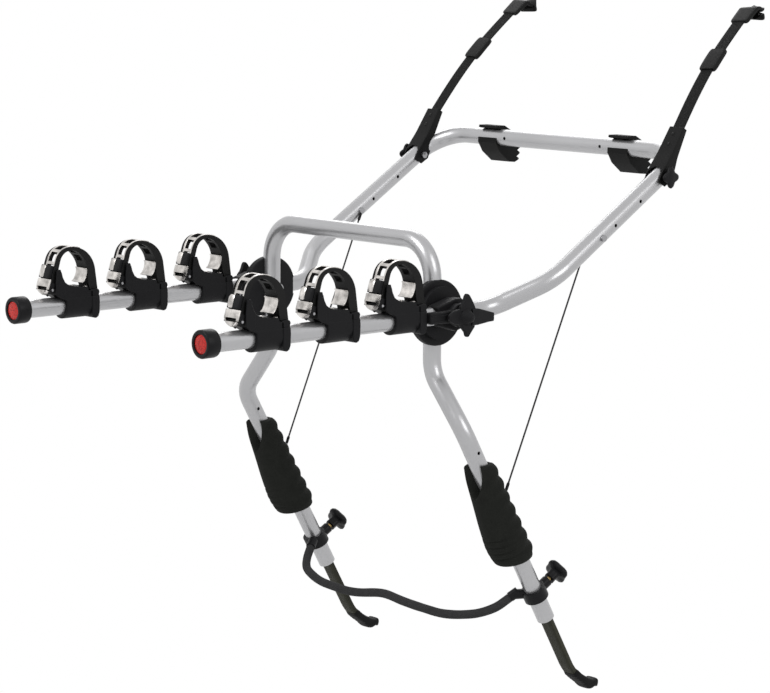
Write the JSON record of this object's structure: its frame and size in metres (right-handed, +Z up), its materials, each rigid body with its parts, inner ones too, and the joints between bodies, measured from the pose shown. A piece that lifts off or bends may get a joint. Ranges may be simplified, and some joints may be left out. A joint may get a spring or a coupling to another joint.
{
  "type": "trunk mounted bike rack",
  "caption": "Folding trunk mounted bike rack of bent silver tube with two cradle arms, foam sleeved legs, side cables, lid hook straps and a bumper bar.",
  "frame": {"origin": "middle of the hub axis, halfway between the two hubs", "axes": "+X across the car, +Y toward the car, +Z up; the bike arms point along -Y"},
  "size_m": [0.6706, 1.2269, 1.1611],
  "materials": {
    "silver_tube": "satin silver coat",
    "steel_parts": "zinc plated",
    "hub_plastic": "fine grained",
    "sleeve_foam": "matte closed-cell foam",
    "bar_foam": "matte foam",
    "collar_plastic": "satin",
    "cap_plastic": "satin",
    "reflector_red": "clear red",
    "saddle_plastic": "matte",
    "strap_rubber": "matte",
    "bright_metal": "polished",
    "pad_rubber": "matte",
    "hook_coat": "ribbed sleeve over a steel bar",
    "cable_sheath": "sheathed steel cable",
    "bracket_coat": "black coat",
    "webbing": "woven"
  },
  "bodies": {
    "lower_frame": {"lower_frame_tube": "silver_tube", "hub_pivot_bolts": "steel_parts", "hub_inner_discs": "hub_plastic", "leg_foam_sleeves": "sleeve_foam", "lower_cable_studs": "steel_parts", "bumper_collars": "collar_plastic", "bumper_bar_core": "steel_parts", "bumper_bar_foam": "bar_foam"},
    "upper_frame": {"upper_frame_tube": "silver_tube", "hub_frame_sockets": "hub_plastic", "top_bar_pads": "pad_rubber", "cable_bolts": "steel_parts", "side_cable_left": "cable_sheath", "side_cable_right": "cable_sheath"},
    "arm_right": {"arm_tube_right": "silver_tube", "arm_end_cap_right": "cap_plastic", "reflector_right": "reflector_red", "arm_clamp_right": "hub_plastic", "cradle_saddles_right": "saddle_plastic"},
    "hub_knob_right": {"hub_knob_right": "hub_plastic"},
    "lower_hook_right": {"lower_hook_strap_right": "hook_coat", "lower_hook_tip_right": "pad_rubber"},
    "collar_knob_right": {"collar_knob_right": "collar_plastic"},
    "strap_bracket_right": {"strap_bracket_right": "bracket_coat", "upper_strap_right": "webbing", "strap_slider_right": "bracket_coat"},
    "bracket_knob_right": {"bracket_knob_right": "collar_plastic"},
    "upper_hook_right": {"upper_hook_right": "pad_rubber"},
    "cradle_strap_1_right": {"cradle_strap_1_right": "strap_rubber", "cradle_ladder_1_right": "bright_metal"},
    "cradle_buckle_1_right": {"cradle_buckle_1_right": "bright_metal"},
    "cradle_strap_2_right": {"cradle_strap_2_right": "strap_rubber", "cradle_ladder_2_right": "bright_metal"},
    "cradle_buckle_2_right": {"cradle_buckle_2_right": "bright_metal"},
    "cradle_strap_3_right": {"cradle_strap_3_right": "strap_rubber", "cradle_ladder_3_right": "bright_metal"},
    "cradle_buckle_3_right": {"cradle_buckle_3_right": "bright_metal"},
    "arm_left": {"arm_tube_left": "silver_tube", "arm_end_cap_left": "cap_plastic", "reflector_left": "reflector_red", "arm_clamp_left": "hub_plastic", "cradle_saddles_left": "saddle_plastic"},
    "hub_knob_left": {"hub_knob_left": "hub_plastic"},
    "lower_hook_left": {"lower_hook_strap_left": "hook_coat", "lower_hook_tip_left": "pad_rubber"},
    "collar_knob_left": {"collar_knob_left": "collar_plastic"},
    "strap_bracket_left": {"strap_bracket_left": "bracket_coat", "upper_strap_left": "webbing", "strap_slider_left": "bracket_coat"},
    "bracket_knob_left": {"bracket_knob_left": "collar_plastic"},
    "upper_hook_left": {"upper_hook_left": "pad_rubber"},
    "cradle_strap_1_left": {"cradle_strap_1_left": "strap_rubber", "cradle_ladder_1_left": "bright_metal"},
    "cradle_buckle_1_left": {"cradle_buckle_1_left": "bright_metal"},
    "cradle_strap_2_left": {"cradle_strap_2_left": "strap_rubber", "cradle_ladder_2_left": "bright_metal"},
    "cradle_buckle_2_left": {"cradle_buckle_2_left": "bright_metal"},
    "cradle_strap_3_left": {"cradle_strap_3_left": "strap_rubber", "cradle_ladder_3_left": "bright_metal"},
    "cradle_buckle_3_left": {"cradle_buckle_3_left": "bright_metal"}
  },
  "joints": [
    {"name": "upper_frame_fold", "type": "hinge", "parent": "lower_frame", "child": "upper_frame", "pos_m": [0, 0, 0], "axis": [1, 0, 0], "range_deg": [-75, 0], "deforming": ["side_cable_left", "side_cable_right"]},
    {"name": "arm_fold_right", "type": "hinge", "parent": "lower_frame", "child": "arm_right", "pos_m": [0.2483, 0, 0], "axis": [1, 0, 0], "range_deg": [0, 65]},
    {"name": "hub_knob_turn_right", "type": "hinge", "parent": "lower_frame", "child": "hub_knob_right", "pos_m": [0.29, 0, 0], "axis": [1, 0, 0], "continuous": true},
    {"name": "lower_hook_slide_right", "type": "slide", "parent": "lower_frame", "child": "lower_hook_right", "axis": [0, 0.4924, -0.8704], "range_m": [-0.02, 0.05]},
    {"name": "collar_knob_turn_right", "type": "hinge", "parent": "lower_frame", "child": "collar_knob_right", "pos_m": [0.2835, 0.16545, -0.48184], "axis": [0, 0.8704, 0.4924], "continuous": true},
    {"name": "strap_bracket_tilt_right", "type": "hinge", "parent": "upper_frame", "child": "strap_bracket_right", "pos_m": [0.3054, 0.42998, 0.20398], "axis": [1, 0, 0], "range_deg": [-8, 40]},
    {"name": "bracket_knob_turn_right", "type": "hinge", "parent": "upper_frame", "child": "bracket_knob_right", "pos_m": [0.3054, 0.42998, 0.20398], "axis": [1, 0, 0], "continuous": true},
    {"name": "upper_hook_slide_right", "type": "slide", "parent": "strap_bracket_right", "child": "upper_hook_right", "axis": [-0.0754, 0.6923, 0.7177], "range_m": [-0.04, 0], "deforming": ["upper_strap_right"]},
    {"name": "cradle_strap_swing_1_right", "type": "hinge", "parent": "arm_right", "child": "cradle_strap_1_right", "pos_m": [0.2483, -0.073, 0.0205], "axis": [1, 0, 0], "range_deg": [-45, 0]},
    {"name": "cradle_buckle_flip_1_right", "type": "hinge", "parent": "cradle_strap_1_right", "child": "cradle_buckle_1_right", "pos_m": [0.2483, -0.162, 0.03], "axis": [1, 0, 0], "range_deg": [0, 75]},
    {"name": "cradle_strap_swing_2_right", "type": "hinge", "parent": "arm_right", "child": "cradle_strap_2_right", "pos_m": [0.2483, -0.215, 0.0205], "axis": [1, 0, 0], "range_deg": [-45, 0]},
    {"name": "cradle_buckle_flip_2_right", "type": "hinge", "parent": "cradle_strap_2_right", "child": "cradle_buckle_2_right", "pos_m": [0.2483, -0.304, 0.03], "axis": [1, 0, 0], "range_deg": [0, 75]},
    {"name": "cradle_strap_swing_3_right", "type": "hinge", "parent": "arm_right", "child": "cradle_strap_3_right", "pos_m": [0.2483, -0.357, 0.0205], "axis": [1, 0, 0], "range_deg": [-45, 0]},
    {"name": "cradle_buckle_flip_3_right", "type": "hinge", "parent": "cradle_strap_3_right", "child": "cradle_buckle_3_right", "pos_m": [0.2483, -0.446, 0.03], "axis": [1, 0, 0], "range_deg": [0, 75]},
    {"name": "arm_fold_left", "type": "hinge", "parent": "lower_frame", "child": "arm_left", "pos_m": [-0.2483, 0, 0], "axis": [1, 0, 0], "range_deg": [0, 65]},
    {"name": "hub_knob_turn_left", "type": "hinge", "parent": "lower_frame", "child": "hub_knob_left", "pos_m": [-0.29, 0, 0], "axis": [1, 0, 0], "continuous": true},
    {"name": "lower_hook_slide_left", "type": "slide", "parent": "lower_frame", "child": "lower_hook_left", "axis": [0, 0.4924, -0.8704], "range_m": [-0.02, 0.05]},
    {"name": "collar_knob_turn_left", "type": "hinge", "parent": "lower_frame", "child": "collar_knob_left", "pos_m": [-0.2835, 0.16545, -0.48184], "axis": [0, 0.8704, 0.4924], "continuous": true},
    {"name": "strap_bracket_tilt_left", "type": "hinge", "parent": "upper_frame", "child": "strap_bracket_left", "pos_m": [-0.3054, 0.42998, 0.20398], "axis": [1, 0, 0], "range_deg": [-8, 40]},
    {"name": "bracket_knob_turn_left", "type": "hinge", "parent": "upper_frame", "child": "bracket_knob_left", "pos_m": [-0.3054, 0.42998, 0.20398], "axis": [1, 0, 0], "continuous": true},
    {"name": "upper_hook_slide_left", "type": "slide", "parent": "strap_bracket_left", "child": "upper_hook_left", "axis": [0.0754, 0.6923, 0.7177], "range_m": [-0.04, 0], "deforming": ["upper_strap_left"]},
    {"name": "cradle_strap_swing_1_left", "type": "hinge", "parent": "arm_left", "child": "cradle_strap_1_left", "pos_m": [-0.2483, -0.073, 0.0205], "axis": [1, 0, 0], "range_deg": [-45, 0]},
    {"name": "cradle_buckle_flip_1_left", "type": "hinge", "parent": "cradle_strap_1_left", "child": "cradle_buckle_1_left", "pos_m": [-0.2483, -0.162, 0.03], "axis": [1, 0, 0], "range_deg": [0, 75]},
    {"name": "cradle_strap_swing_2_left", "type": "hinge", "parent": "arm_left", "child": "cradle_strap_2_left", "pos_m": [-0.2483, -0.215, 0.0205], "axis": [1, 0, 0], "range_deg": [-45, 0]},
    {"name": "cradle_buckle_flip_2_left", "type": "hinge", "parent": "cradle_strap_2_left", "child": "cradle_buckle_2_left", "pos_m": [-0.2483, -0.304, 0.03], "axis": [1, 0, 0], "range_deg": [0, 75]},
    {"name": "cradle_strap_swing_3_left", "type": "hinge", "parent": "arm_left", "child": "cradle_strap_3_left", "pos_m": [-0.2483, -0.357, 0.0205], "axis": [1, 0, 0], "range_deg": [-45, 0]},
    {"name": "cradle_buckle_flip_3_left", "type": "hinge", "parent": "cradle_strap_3_left", "child": "cradle_buckle_3_left", "pos_m": [-0.2483, -0.446, 0.03], "axis": [1, 0, 0], "range_deg": [0, 75]}
  ]
}
